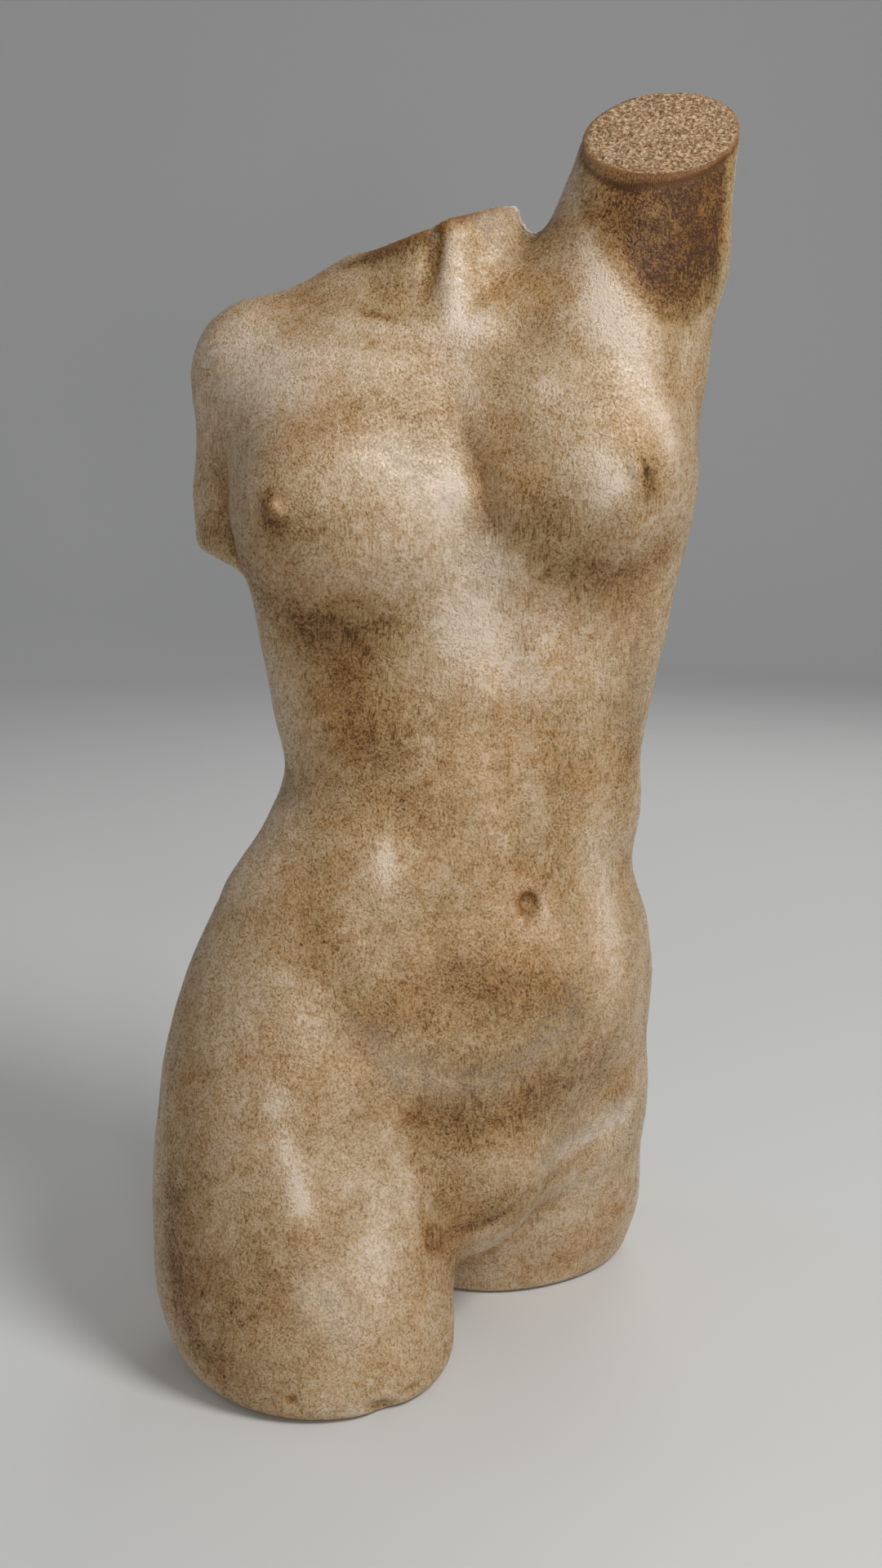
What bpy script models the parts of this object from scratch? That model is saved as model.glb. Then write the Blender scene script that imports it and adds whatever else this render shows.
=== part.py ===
"""Headless female torso in one piece of cast stone.

The right arm hangs and is cut above the elbow, the left arm is raised and cut above the
shoulder, the neck is a short stump, and the figure stands on the level cuts of its thighs.
Metres, +Z up. The chest faces -Y, the figure's right side is towards -X, and the origin is
the middle of its footprint box on the floor.
"""

import bmesh
import bpy
import numpy as np
from mathutils import Matrix, Vector

# Sizes in metres
HEIGHT = 0.800
RIM_ROUND = 0.0072
STUMP_ROUND = 0.0120
NEAR_SOLE_ROUND = 0.0200
FAR_SOLE_ROUND = 0.0120
BLANK_CELL = 0.0046
SKIN_RELIEF = 0.0080
FACETS = 9400

# One hundredth of the height, the figure's own unit
UNIT = HEIGHT / 100

# Level sections: height, centre x and y, half width, depth ahead, depth behind, turn in degrees
TRUNK = (
    (4, -1.6, 5.0, 11.0, 7.0, 7.0, 31),
    (12, -1.9, 4.8, 17.0, 9.6, 9.0, 31),
    (20, -2.1, 4.5, 19.2, 10.6, 10.0, 31),
    (27, -1.2, 4.2, 20.6, 11.2, 10.0, 31),
    (33, -0.9, 3.8, 20.1, 11.4, 9.6, 31),
    (39, -0.5, 3.3, 18.0, 11.1, 9.0, 30),
    (44, 1.15, 2.9, 16.35, 10.6, 8.6, 26),
    (48, 1.8, 2.5, 15.0, 10.0, 8.7, 20),
    (54, 1.8, 2.0, 15.5, 9.6, 9.3, 11),
    (60, 1.8, 1.6, 16.4, 9.6, 10.0, 4),
    (67, 2.0, 1.6, 17.1, 9.9, 10.6, 0),
    (73, 2.2, 2.0, 17.2, 9.9, 10.6, -2),
    (79, 1.6, 2.6, 16.2, 9.4, 9.8, -3),
    (84, 0.2, 3.2, 12.3, 7.8, 7.8, -3),
    (88, 0.0, 3.6, 8.4, 6.6, 6.0, -3),
)
RIGHT_THIGH = (
    (-3, -9.6, -4.8, 10.0, 12.2, 11.0, 22),
    (0, -10.3, -4.7, 10.9, 12.6, 11.3, 22),
    (3, -10.9, -4.6, 11.7, 12.9, 11.5, 22),
    (6, -11.4, -4.4, 12.0, 12.8, 11.7, 22),
    (11, -11.8, -3.9, 11.8, 12.4, 12.0, 22),
    (18, -11.4, -2.9, 12.0, 11.8, 12.0, 24),
    (25, -11.1, -1.8, 11.2, 11.3, 11.0, 26),
    (32, -10.0, -0.6, 10.0, 9.9, 9.0, 28),
    (38, -8.6, 0.8, 8.2, 8.2, 7.0, 29),
)
LEFT_THIGH = (
    (-3, 5.5, 15.0, 10.6, 9.6, 9.4, 30),
    (0, 5.8, 14.9, 11.3, 10.1, 9.8, 30),
    (4, 6.3, 14.6, 12.0, 10.9, 10.2, 30),
    (11, 6.4, 13.4, 11.6, 11.7, 10.4, 30),
    (18, 6.75, 11.8, 11.25, 11.8, 10.6, 30),
    (25, 6.7, 10.2, 10.4, 10.6, 10.0, 30),
    (32, 6.6, 8.6, 9.8, 8.4, 8.6, 30),
)

# Rounded masses: centre, radii, tilt about X, Y and Z in degrees
RIGHT_BUTTOCK = ((-10.6, 7.0, 21.5), (10.6, 9.8, 11.5), (0, 0, 31))
LEFT_BUTTOCK = ((3.2, 15.0, 20.5), (10.4, 9.6, 11.5), (0, 0, 31))
PUBIS = ((0.6, 1.2, 17.4), (7.6, 9.8, 10.6), (-10, 0, 31))
BELLY = ((3.5, 0.5, 29.5), (12.6, 9.4, 10.5), (0, 0, 31))
RIGHT_BREAST = ((-7.4, -3.9, 69.2), (8.8, 6.4, 7.8), (12, 0, -30))
RIGHT_BREAST_TIP = ((-8.4, -4.4, 69.8), (5.4, 7.2, 6.0), (0, 0, -32))
LEFT_BREAST = ((10.4, -3.2, 71.6), (8.6, 6.4, 8.4), (12, 0, 26))
LEFT_BREAST_TIP = ((11.4, -4.0, 72.0), (5.0, 7.2, 6.0), (0, 0, 26))
RIGHT_CHEST = ((-7.6, -1.6, 76.4), (8.4, 6.0, 6.6), (0, 0, -12))
RIGHT_SHOULDER = ((-13.0, 2.6, 78.6), (6.2, 6.0, 6.3), (0, 0, 0))

# Limbs and muscles: x, y, height and radius at points along the middle
RIGHT_ARM = ((-13.7, 3, 79, 5.5), (-14.4, 3.6, 70, 5.1), (-14.9, 3.8, 60, 5))
SHOULDER_CORNER = ((-14.2, 3, 79.9, 4.4), (-11, 3, 80.6, 3.6))
LEFT_ARM = ((11.8, 3.8, 79, 8), (15.1, 1.2, 88, 6.6), (17.3, -3.2, 102, 5.1))
FLANK_FOLD = ((15.3, 2.6, 90, 5.2), (15.4, 3, 80, 5), (13.9, 3.4, 68, 4.8), (11, 3.2, 56, 4))
CHEST_FOLD = ((14.6, -0.6, 89, 5.0), (11.8, -1.2, 82, 6.2), (10.2, -2.2, 75, 6.2))
LEFT_COLLAR = ((3, -1, 82.4, 3), (9, 0.4, 84.6, 3.4))
NECK_SLOPE = ((-10, 3.2, 81.4, 2.9), (-5.6, 3.4, 84.2, 3.5), (3, 5, 85.6, 3.5), (10, 4, 84.4, 3))
NECK = ((1.4, 4.0, 80, 8.5), (-1.3, 1.8, 97, 5.0))

# Cuts: a point on the plane, the way it faces
SOLE = ((0, 0, 0), (0, 0, -1))
HIP_CUT = ((-1.0, 0.0, 7.2), (0.36, 0.0, -1.0))
RIGHT_ARM_CUT = ((-16.0, 3.0, 64.0), (-0.42, -0.10, -0.90))
LEFT_ARM_CUT = ((16.6, -3.0, 96.0), (-0.10, -0.60, 0.80))
NECK_CUT = ((-0.8, 1.5, 89.7), (-0.34, 0.06, 0.94))

# Carved lines, seen from the front or the back: x, height, half width and share of the relief
FURROWS = (
    # middle line of the belly
    ("front", (2.4, 68, 2.2, 0.2), (4.3, 61.3, 2, 0.3), (5.5, 55, 1.8, 0.45), (5.9, 48.5, 1.7, 0.4),
     (6.4, 42, 1.2, 0.3)),
    # right groin
    ("front", (-13.7, 41, 2.4, 0), (-11.9, 38.4, 2.8, 0.1), (-10, 36, 3, 0.35),
     (-7.6, 32.7, 2.8, 0.45), (-5.9, 29.4, 2.4, 0.35), (-4.5, 26, 2, 0.1)),
    # middle line of the chest
    ("front", (0.3, 80, 1.2, 0.05), (1.2, 75.8, 1.1, 0.3), (2.4, 72.3, 1.1, 0.35),
     (3.6, 68.7, 1.2, 0.25), (5.6, 65.8, 1.4, 0)),
    # right waist
    ("front", (-12.6, 47.6, 1.8, 0.5), (-9.8, 46.6, 2, 0)),
    # hollows beside the neck muscle
    ("front", (-0.4, 88.6, 0.7, 0.25), (-0.7, 87, 0.8, 0.35), (-1.1, 84.8, 0.8, 0.05)),
    ("front", (-4.4, 85.4, 1.8, 0.2), (-2.2, 85.2, 1.6, 0.2)),
    ("front", (6.2, 87.4, 1, 0.3), (4.3, 86.2, 1.3, 0.35), (2.4, 83.6, 1.4, 0.1)),
    # arch of the ribs
    ("front", (-10, 55, 1.8, 0.1), (-6, 59, 2.2, 0.35), (-1.5, 62.5, 1.8, 0.15)),
    ("front", (12.5, 56, 1.8, 0.1), (10.2, 60, 2.2, 0.35), (7, 63, 1.8, 0.15)),
    # outer edge of the straight belly muscle
    ("front", (-2.6, 56, 2, 0.1), (-3.2, 50, 2.2, 0.3), (-2.4, 44, 2, 0.1)),
    # spine
    ("back", (-0.8, 81, 2, 0.2), (1, 68, 2.4, 0.8), (2.2, 56, 2.6, 1), (1.8, 46, 2.6, 1),
     (-0.6, 37, 2.2, 0.7), (-3, 31, 1.4, 0.4)),
)
RIDGES = (
    # collar bones
    ("front", (0.2, 82.6, 1.2, 0.2), (-3.6, 82.5, 1.3, 0.35), (-6.8, 83.2, 1.4, 0.35),
     (-10, 83.8, 1.4, 0.1)),
    ("front", (2.2, 82.4, 1.2, 0.25), (6, 84.4, 1.5, 0.2)),
    # neck muscle
    ("front", (1, 89.6, 1.1, 0.25), (0.8, 86.4, 1.0, 0.35), (0.9, 83.4, 1.0, 0.2)),
    # fold in front of the armpit
    ("front", (13.4, 86, 1.6, 0.1), (15, 81.5, 1.7, 0.4), (16.8, 76.5, 1.5, 0.1)),
    # shoulder blades
    ("back", (-7.5, 78, 2.8, 0.4), (-8.4, 72, 3.2, 0.8), (-7.4, 66.5, 2.6, 0.5)),
    ("back", (7.5, 82, 2.8, 0.4), (10.3, 76, 3.2, 0.8), (10.3, 69.5, 2.6, 0.5)),
)
# Spots: side, x and height, radii across, in depth and in height, lean, share of the relief
SPOTS = (
    ("front", (6.9, 38.4), (0.75, 1.5, 1.15), -20, 1.0),
    ("front", (-12.2, 69.9), (0.8, 1.4, 0.8), 0, -0.5),
    ("front", (14.2, 72.7), (0.7, 1.2, 0.8), 0, -0.4),
    ("front", (-4.2, 43.6), (3.2, 4.0, 3.6), 0, -0.35),
    ("back", (-7.8, 33.6), (1.2, 2.0, 1.2), 0, 0.4),
    ("back", (1.8, 34.6), (1.2, 2.0, 1.2), 0, 0.4),
)


def smooth_min(a, b, width):
    """The lower of two values, with the change from one to the other eased over width."""
    near = np.clip(width - np.abs(a - b), 0, None) / width
    return np.minimum(a, b) - near**3 * width / 6


def smooth_max(a, b, width):
    return -smooth_min(-a, -b, width)


def eased(value, low, high):
    """0 below low, 1 above high, smooth between."""
    t = np.clip((value - low) / (high - low), 0, 1)
    return t * t * (3 - 2 * t)


def turned_axes(tilt):
    """The three axes of a frame tilted about X, then Y, then Z, in degrees, as columns."""
    turn = [Matrix.Rotation(np.radians(angle), 3, axis) for angle, axis in zip(tilt, "XYZ")]
    return np.array(turn[2] @ turn[1] @ turn[0])


def section_at(rows, height):
    """The section's values at each height, on a smooth curve through the rows."""
    rows = np.asarray(rows, float)
    levels, values = rows[:, 0], rows[:, 1:]
    slopes = np.gradient(values, levels, axis=0)
    h = np.clip(height, levels[0], levels[-1])
    i = np.clip(np.searchsorted(levels, h, side="right") - 1, 0, len(levels) - 2)
    span = levels[i + 1] - levels[i]
    t = ((h - levels[i]) / span)[..., None]
    span = span[..., None]
    start = (2 * t**3 - 3 * t**2 + 1) * values[i] + (t**3 - 2 * t**2 + t) * slopes[i] * span
    return start + (3 * t**2 - 2 * t**3) * values[i + 1] + (t**3 - t**2) * slopes[i + 1] * span


def stack_depth(p, rows, squareness):
    """How far p lies outside a body of level sections."""
    x, y, half, ahead_depth, behind_depth, turn = np.moveaxis(section_at(rows, p[..., 2]), -1, 0)
    dx, dy, turn = p[..., 0] - x, p[..., 1] - y, np.radians(turn)
    side = dx * np.cos(turn) + dy * np.sin(turn)
    ahead = dx * np.sin(turn) - dy * np.cos(turn)
    depth = np.where(ahead > 0, ahead_depth, behind_depth)
    share = (np.abs(side / half) ** squareness + np.abs(ahead / depth) ** squareness) ** (1 / squareness)
    reach = np.hypot(side, ahead)
    return np.where(share > 1e-6, reach * (1 - 1 / np.maximum(share, 1e-6)), -np.minimum(half, depth))


def ball_depth(p, ball):
    centre, radii, tilt = ball
    q = (p - np.asarray(centre, float)) @ turned_axes(tilt)
    once = np.linalg.norm(q / radii, axis=-1)
    twice = np.linalg.norm(q / np.square(radii), axis=-1)
    return once * (once - 1) / np.maximum(twice, 1e-9)


def along(p, a, b):
    """How far along a to b each point lies, 0 to 1, and its distance from that line."""
    a, b = np.asarray(a, float), np.asarray(b, float)
    t = np.clip((p - a) @ (b - a) / ((b - a) @ (b - a)), 0, 1)
    return t, np.linalg.norm(p - a - t[..., None] * (b - a), axis=-1)


def limb_depth(p, limb):
    found = None
    for (*a, start), (*b, end) in zip(limb[:-1], limb[1:]):
        t, distance = along(p, a, b)
        depth = distance - (start + (end - start) * t)
        found = depth if found is None else smooth_min(found, depth, 1.5)
    return found


def cut_depth(p, cut):
    point, facing = (np.asarray(v, float) for v in cut)
    return (p - point) @ (facing / np.linalg.norm(facing))


def leg_depth(p, rows, buttock, top, top_round, sole_round):
    leg = smooth_max(stack_depth(p, rows, 2.1), p[..., 2] - top, top_round)
    leg = smooth_min(leg, ball_depth(p, buttock), 6)
    return smooth_max(leg, cut_depth(p, SOLE), sole_round / UNIT)


def masses(p):
    """How far each point lies outside the figure before its lines are carved."""
    height = p[..., 2]
    trunk = smooth_max(stack_depth(p, TRUNK, 2.2), cut_depth(p, HIP_CUT), 5)
    trunk = smooth_max(trunk, height - 87, 3)
    right_leg = leg_depth(p, RIGHT_THIGH, RIGHT_BUTTOCK, 40, 10, NEAR_SOLE_ROUND)
    left_leg = leg_depth(p, LEFT_THIGH, LEFT_BUTTOCK, 32, 8, FAR_SOLE_ROUND)
    legs = smooth_min(right_leg, left_leg, 0.8)
    crease = 1.0 + 3.4 * eased(height, 6, 15) + 2.6 * eased(height, 16, 26)
    outer = eased(p[..., 0], 4, 10) * eased(height, 8, 13) * (1 - eased(height, 17, 23))
    crease = crease + 2.6 * outer
    form = smooth_min(trunk, legs, crease)
    form = smooth_min(form, ball_depth(p, PUBIS), 6)
    form = smooth_min(form, ball_depth(p, BELLY), 7)
    for breast in (RIGHT_BREAST, RIGHT_BREAST_TIP, LEFT_BREAST, LEFT_BREAST_TIP):
        form = smooth_min(form, ball_depth(p, breast), 6)
    form = smooth_min(form, ball_depth(p, RIGHT_CHEST), 5)
    form = smooth_min(form, ball_depth(p, RIGHT_SHOULDER), 5)
    form = smooth_min(form, limb_depth(p, SHOULDER_CORNER), 3.5)
    arm = smooth_max(limb_depth(p, RIGHT_ARM), cut_depth(p, RIGHT_ARM_CUT), STUMP_ROUND / UNIT)
    form = smooth_min(form, arm, 1.2)
    arm = smooth_max(limb_depth(p, LEFT_ARM), cut_depth(p, LEFT_ARM_CUT), RIM_ROUND / UNIT)
    form = smooth_min(form, arm, 3.5)
    form = smooth_min(form, limb_depth(p, FLANK_FOLD), 3)
    form = smooth_min(form, limb_depth(p, CHEST_FOLD), 5)
    form = smooth_min(form, limb_depth(p, LEFT_COLLAR), 5)
    form = smooth_min(form, limb_depth(p, NECK_SLOPE), 4)
    neck = smooth_max(limb_depth(p, NECK), cut_depth(p, NECK_CUT), RIM_ROUND / UNIT)
    return smooth_min(form, neck, 3.2)


def on_skin(side, spots):
    """The outermost points of the front or back at each x and height."""
    depths = np.arange(-20, 30, 0.1)
    if side == "back":
        depths = depths[::-1]
    spots = np.asarray(spots, float)
    p = np.empty((len(spots), len(depths), 3))
    p[..., 0], p[..., 1], p[..., 2] = spots[:, :1], depths, spots[:, 1:]
    inside = masses(p) < 0
    return p[np.arange(len(spots)), inside.argmax(axis=1)]


def placed(lines):
    """Each line's points on the skin, with their half widths and depths."""
    rows = [(side, np.asarray(points, float)) for side, *points in lines]
    return [np.hstack([on_skin(side, points[:, :2]), points[:, 2:]]) for side, points in rows]


def stroke(p, line):
    """The depth of a carved line at each point, fading to both sides of it."""
    found = np.zeros(p.shape[:-1])
    for start, end in zip(line[:-1], line[1:]):
        t, distance = along(p, start[:3], end[:3])
        width = start[3] + (end[3] - start[3]) * t
        depth = start[4] + (end[4] - start[4]) * t
        found = np.maximum(found, depth * np.exp(-((distance / width) ** 2)))
    return found


def carving():
    """The furrows, ridges and spots, each set on the skin."""
    spots = [(on_skin(side, (spot,))[0], radii, lean, depth) for side, spot, radii, lean, depth in SPOTS]
    return placed(FURROWS), placed(RIDGES), spots


def figure(p, lines):
    furrows, ridges, spots = lines
    relief = SKIN_RELIEF / UNIT
    form = masses(p)
    for line in furrows:
        form = form + relief * stroke(p, line)
    for line in ridges:
        form = form - relief * stroke(p, line)
    for centre, radii, lean, depth in spots:
        q = (p - centre) @ turned_axes((0, lean, 0)) / np.asarray(radii, float)
        form = form + relief * depth * np.exp(-(q * q).sum(-1))
    return form


def ring(bm, level, x, y, half, ahead_depth, behind_depth, turn, sides=40):
    """One level section as a loop of points."""
    turn = np.radians(turn)
    points = []
    for angle in np.linspace(0, 2 * np.pi, sides, endpoint=False):
        side = half * np.cos(angle)
        ahead = np.sin(angle) * (ahead_depth if np.sin(angle) > 0 else behind_depth)
        points.append(bm.verts.new((
            x + side * np.cos(turn) + ahead * np.sin(turn),
            y + side * np.sin(turn) - ahead * np.cos(turn),
            level,
        )))
    return points


def add_stack(bm, rows, low, high):
    """A closed body of level sections between two heights."""
    levels = np.linspace(low, high, max(3, int((high - low) / 2.5)))
    rings = [ring(bm, level, *section_at(rows, level)) for level in levels]
    for below, above in zip(rings[:-1], rings[1:]):
        for i in range(len(below)):
            j = (i + 1) % len(below)
            bm.faces.new((below[j], below[i], above[i], above[j]))
    bm.faces.new(rings[0])
    bm.faces.new(rings[-1][::-1])


def add_ball(bm, ball):
    centre, radii, tilt = ball
    placing = Matrix.Translation(centre) @ Matrix(turned_axes(tilt)).to_4x4()
    placing = placing @ Matrix.Diagonal((*radii, 1))
    bmesh.ops.create_uvsphere(bm, u_segments=24, v_segments=16, radius=1, matrix=placing)


def add_limb(bm, limb, cut=None):
    """Balls at the points, cones between them, trimmed at the cut."""
    own = bmesh.new()
    for (*a, start), (*b, end) in zip(limb[:-1], limb[1:]):
        a, b = Vector(a), Vector(b)
        turn = (b - a).to_track_quat("Z", "Y").to_matrix().to_4x4()
        placing = Matrix.Translation((a + b) / 2) @ turn
        bmesh.ops.create_cone(
            own,
            cap_ends=True,
            segments=28,
            radius1=start,
            radius2=end,
            depth=(b - a).length,
            matrix=placing,
        )
    for *point, radius in limb:
        add_ball(own, (point, (radius,) * 3, (0, 0, 0)))
    if cut:
        point, facing = cut
        everything = own.verts[:] + own.edges[:] + own.faces[:]
        found = bmesh.ops.bisect_plane(
            own, geom=everything, plane_co=point, plane_no=facing, clear_outer=True
        )
        edges = [item for item in found["geom_cut"] if isinstance(item, bmesh.types.BMEdge)]
        bmesh.ops.edgeloop_fill(own, edges=edges)
    trimmed = bpy.data.meshes.new("limb")
    own.to_mesh(trimmed)
    own.free()
    bm.from_mesh(trimmed)
    bpy.data.meshes.remove(trimmed)


def evaluated_mesh(body):
    """The object's mesh with its modifiers applied, as a new mesh."""
    bpy.context.view_layer.update()
    graph = bpy.context.evaluated_depsgraph_get()
    return bpy.data.meshes.new_from_object(body.evaluated_get(graph))


def points_of(mesh):
    points = np.empty(len(mesh.vertices) * 3)
    mesh.vertices.foreach_get("co", points)
    return points.reshape(-1, 3)


def blank(body):
    """The rough block: every mass joined and remeshed to one even skin, in figure units."""
    bm = bmesh.new()
    add_stack(bm, TRUNK, 8, 87)
    add_stack(bm, RIGHT_THIGH, 0, 38)
    add_stack(bm, LEFT_THIGH, 0, 32)
    for ball in (RIGHT_BUTTOCK, LEFT_BUTTOCK, PUBIS, BELLY, RIGHT_BREAST, RIGHT_BREAST_TIP,
                 LEFT_BREAST, LEFT_BREAST_TIP, RIGHT_CHEST, RIGHT_SHOULDER):
        add_ball(bm, ball)
    for limb in (SHOULDER_CORNER, FLANK_FOLD, CHEST_FOLD, LEFT_COLLAR, NECK_SLOPE):
        add_limb(bm, limb)
    add_limb(bm, RIGHT_ARM, RIGHT_ARM_CUT)
    add_limb(bm, LEFT_ARM, LEFT_ARM_CUT)
    add_limb(bm, NECK, NECK_CUT)
    bm.to_mesh(body.data)
    bm.free()
    fuse = body.modifiers.new("Fuse", "REMESH")
    fuse.mode = "VOXEL"
    fuse.voxel_size = BLANK_CELL / UNIT
    rough = body.data
    body.data = evaluated_mesh(body)
    body.modifiers.clear()
    bpy.data.meshes.remove(rough)


def neighbour_means(points, edges):
    """Each point's neighbours' mean place."""
    total = np.zeros_like(points)
    count = np.zeros(len(points))
    for a, b in ((0, 1), (1, 0)):
        np.add.at(total, edges[:, a], points[edges[:, b]])
        np.add.at(count, edges[:, a], 1)
    return total / count[:, None]


def slope_of(points, lines, step=0.02):
    slope = np.empty_like(points)
    for axis in range(3):
        shift = np.zeros(3)
        shift[axis] = step
        slope[:, axis] = figure(points + shift, lines) - figure(points - shift, lines)
    return slope / (2 * step)


def carve(body):
    """Moves the blank's skin onto the figure, evening it out between the passes."""
    lines = carving()
    points = points_of(body.data)
    edges = np.empty(len(body.data.edges) * 2, int)
    body.data.edges.foreach_get("vertices", edges)
    edges = edges.reshape(-1, 2)
    for evening in (0.6, 0.6, 0.5, 0.4, 0.0, 0.0):
        slope = slope_of(points, lines)
        steep = np.maximum((slope * slope).sum(1), 0.05)
        move = slope * (figure(points, lines) / steep)[:, None]
        reach = np.linalg.norm(move, axis=1, keepdims=True)
        points = points - move * np.minimum(1, 1.5 / np.maximum(reach, 1e-9))
        if evening:
            aside = neighbour_means(points, edges) - points
            normal = slope / np.sqrt(steep)[:, None]
            aside -= normal * (aside * normal).sum(1, keepdims=True)
            points = points + evening * aside
    points[np.abs(points[:, 2]) < 0.002, 2] = 0
    body.data.vertices.foreach_set("co", np.round(points * UNIT, 6).ravel())
    body.data.update()


def facet(body):
    """Fewer, larger facets where the skin is calm."""
    fewer = body.modifiers.new("Facets", "DECIMATE")
    fewer.ratio = FACETS / (2 * len(body.data.polygons))
    fewer.use_collapse_triangulate = True
    dense = body.data
    body.data = evaluated_mesh(body)
    body.modifiers.clear()
    bpy.data.meshes.remove(dense)


def centre(body):
    """Sets the footprint's middle on the origin and the lowest points on the floor."""
    points = points_of(body.data)
    low, high = points.min(axis=0), points.max(axis=0)
    points -= ((low[0] + high[0]) / 2, (low[1] + high[1]) / 2, low[2])
    body.data.vertices.foreach_set("co", np.round(points, 7).ravel())
    body.data.update()


def stone():
    """Beige cast stone with a waxed brown patina."""
    material = bpy.data.materials.new("Patinated cast stone")
    material.use_nodes = True
    shader = material.node_tree.nodes["Principled BSDF"]
    shader.inputs["Base Color"].default_value = (0.33, 0.23, 0.13, 1)
    shader.inputs["Roughness"].default_value = 0.5
    shader.inputs["Metallic"].default_value = 0
    return material


def main():
    for item in list(bpy.data.objects):
        bpy.data.objects.remove(item)
    body = bpy.data.objects.new("torso", bpy.data.meshes.new("torso"))
    bpy.context.scene.collection.objects.link(body)
    blank(body)
    carve(body)
    facet(body)
    centre(body)
    body.data.name = "torso"
    body.data.materials.append(stone())
    body.data.shade_smooth()


main()
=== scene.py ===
"""The stone torso as it looks: one casting with its carved lines, worn patina and broken faces.

The frame gives the figure's true form. The piece keeps that form and adds the fine relief,
the granular cuts and the finish. Metres, +Z up, the chest faces -Y.
"""

import bmesh
import bpy
import numpy as np
from bpy.props import FloatProperty, FloatVectorProperty, PointerProperty
from bpy.types import Operator, Panel, PropertyGroup
from mathutils import Matrix, Vector


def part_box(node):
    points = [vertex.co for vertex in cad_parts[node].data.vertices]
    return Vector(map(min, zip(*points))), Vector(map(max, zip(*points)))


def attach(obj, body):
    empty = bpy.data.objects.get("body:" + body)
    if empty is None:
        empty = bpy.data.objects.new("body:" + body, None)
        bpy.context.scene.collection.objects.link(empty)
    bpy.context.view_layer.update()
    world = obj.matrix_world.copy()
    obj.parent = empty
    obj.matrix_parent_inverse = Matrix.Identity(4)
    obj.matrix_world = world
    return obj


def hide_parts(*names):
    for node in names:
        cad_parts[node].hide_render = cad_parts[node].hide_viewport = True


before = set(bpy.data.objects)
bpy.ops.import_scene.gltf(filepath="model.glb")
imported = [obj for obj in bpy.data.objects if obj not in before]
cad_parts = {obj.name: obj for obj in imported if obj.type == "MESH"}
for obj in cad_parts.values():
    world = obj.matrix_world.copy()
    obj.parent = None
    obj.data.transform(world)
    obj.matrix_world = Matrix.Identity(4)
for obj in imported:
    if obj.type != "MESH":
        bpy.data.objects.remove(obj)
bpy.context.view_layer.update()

bl_info = {
    "name": "Stone torso",
    "version": (1, 0, 0),
    "blender": (4, 5, 0),
    "location": "View3D > Sidebar > Torso",
    "description": "Carves and finishes the cast stone torso and sets its studio",
    "category": "Object",
}

# The figure's unit is a hundredth of its height, in metres
UNIT = 0.008
# Shares below this count as none
NEARLY_ZERO = 1e-6
# Where the footprint's middle lies on the figure's own grid, in units
FIGURE_MIDDLE = np.array((-0.8263, 3.9957, 0.0))

# Level sections: height, centre x and y, half width, depth ahead, depth behind, turn in degrees
TRUNK = (
    (4, -1.6, 5.0, 11.0, 7.0, 7.0, 31),
    (12, -1.9, 4.8, 17.0, 9.6, 9.0, 31),
    (20, -2.1, 4.5, 19.2, 10.6, 10.0, 31),
    (27, -1.2, 4.2, 20.6, 11.2, 10.0, 31),
    (33, -0.9, 3.8, 20.1, 11.4, 9.6, 31),
    (39, -0.5, 3.3, 18.0, 11.1, 9.0, 30),
    (44, 1.15, 2.9, 16.35, 10.6, 8.6, 26),
    (48, 1.8, 2.5, 15.0, 10.0, 8.7, 20),
    (54, 1.8, 2.0, 15.5, 9.6, 9.3, 11),
    (60, 1.8, 1.6, 16.4, 9.6, 10.0, 4),
    (67, 2.0, 1.6, 17.1, 9.9, 10.6, 0),
    (73, 2.2, 2.0, 17.2, 9.9, 10.6, -2),
    (79, 1.6, 2.6, 16.2, 9.4, 9.8, -3),
    (84, 0.2, 3.2, 12.3, 7.8, 7.8, -3),
    (88, 0.0, 3.6, 8.4, 6.6, 6.0, -3),
)
RIGHT_THIGH = (
    (-3, -9.6, -4.8, 10.0, 12.2, 11.0, 22),
    (0, -10.3, -4.7, 10.9, 12.6, 11.3, 22),
    (3, -10.9, -4.6, 11.7, 12.9, 11.5, 22),
    (6, -11.4, -4.4, 12.0, 12.8, 11.7, 22),
    (11, -11.8, -3.9, 11.8, 12.4, 12.0, 22),
    (18, -11.4, -2.9, 12.0, 11.8, 12.0, 24),
    (25, -11.1, -1.8, 11.2, 11.3, 11.0, 26),
    (32, -10.0, -0.6, 10.0, 9.9, 9.0, 28),
    (38, -8.6, 0.8, 8.2, 8.2, 7.0, 29),
)
LEFT_THIGH = (
    (-3, 5.5, 15.0, 10.6, 9.6, 9.4, 30),
    (0, 5.8, 14.9, 11.3, 10.1, 9.8, 30),
    (4, 6.3, 14.6, 12.0, 10.9, 10.2, 30),
    (11, 6.4, 13.4, 11.6, 11.7, 10.4, 30),
    (18, 6.75, 11.8, 11.25, 11.8, 10.6, 30),
    (25, 6.7, 10.2, 10.4, 10.6, 10.0, 30),
    (32, 6.6, 8.6, 9.8, 8.4, 8.6, 30),
)

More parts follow.
